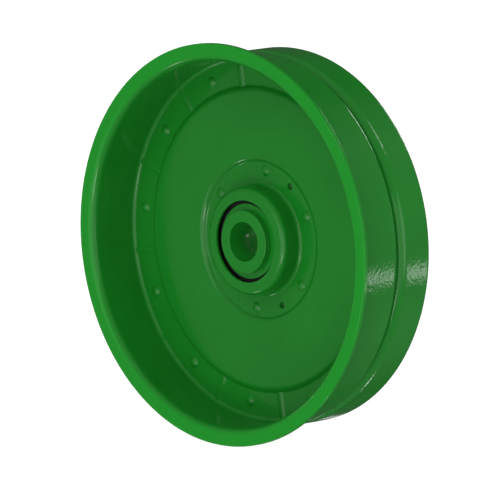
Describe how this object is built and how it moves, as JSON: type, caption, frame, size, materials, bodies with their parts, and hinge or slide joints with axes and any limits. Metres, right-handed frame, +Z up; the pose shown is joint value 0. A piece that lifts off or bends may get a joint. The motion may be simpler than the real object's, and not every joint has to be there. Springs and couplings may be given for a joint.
{
  "type": "flanged track roller",
  "caption": "Flanged roller of two pressed-steel halves riveted web to web, turning on two sealed ball bearings with flanged axle sleeves.",
  "frame": {"origin": "on the axle's centre line, in the plane where the two wheel halves' webs touch, the middle of the bore", "axes": "+Y along the axle towards the plain rear rim, so the flange is at -Y; +Z up; +X to the right seen from the flange side"},
  "size_m": [0.254, 0.0674, 0.254],
  "materials": {
    "wheel_paint": "gloss green enamel on pressed steel",
    "hub_paint": "gloss green enamel on turned steel, bare inside the bore",
    "bearing_steel": "ground bearing steel",
    "cage_brass": "machined brass",
    "seal_rubber": "matt black nitrile rubber"
  },
  "bodies": {
    "axle_sleeves": {"front_sleeve": "hub_paint", "rear_sleeve": "hub_paint", "front_flinger": "hub_paint", "rear_flinger": "hub_paint", "front_inner_race": "bearing_steel", "rear_inner_race": "bearing_steel"},
    "wheel": {"front_wheel_half": "wheel_paint", "rear_wheel_half": "wheel_paint", "rim_rivets": "wheel_paint", "hub_rivets": "wheel_paint", "front_outer_race": "bearing_steel", "rear_outer_race": "bearing_steel", "front_outboard_seal": "seal_rubber", "front_inboard_seal": "seal_rubber", "rear_outboard_seal": "seal_rubber", "rear_inboard_seal": "seal_rubber"},
    "front_ball_set": {"front_balls": "bearing_steel", "front_outboard_cage_half": "cage_brass", "front_inboard_cage_half": "cage_brass", "front_cage_rivets": "cage_brass"},
    "rear_ball_set": {"rear_balls": "bearing_steel", "rear_outboard_cage_half": "cage_brass", "rear_inboard_cage_half": "cage_brass", "rear_cage_rivets": "cage_brass"}
  },
  "joints": [
    {"name": "wheel_spin", "type": "hinge", "parent": "axle_sleeves", "child": "wheel", "pos_m": [0, 0, 0], "axis": [0, 1, 0], "continuous": true},
    {"name": "front_ball_orbit", "type": "hinge", "parent": "axle_sleeves", "child": "front_ball_set", "pos_m": [0, 0, 0], "axis": [0, 1, 0], "continuous": true},
    {"name": "rear_ball_orbit", "type": "hinge", "parent": "axle_sleeves", "child": "rear_ball_set", "pos_m": [0, 0, 0], "axis": [0, 1, 0], "continuous": true}
  ],
  "couplings": [
    {"joint": "front_ball_orbit", "follows": "wheel_spin", "ratio": 0.58183},
    {"joint": "rear_ball_orbit", "follows": "wheel_spin", "ratio": 0.58183}
  ]
}
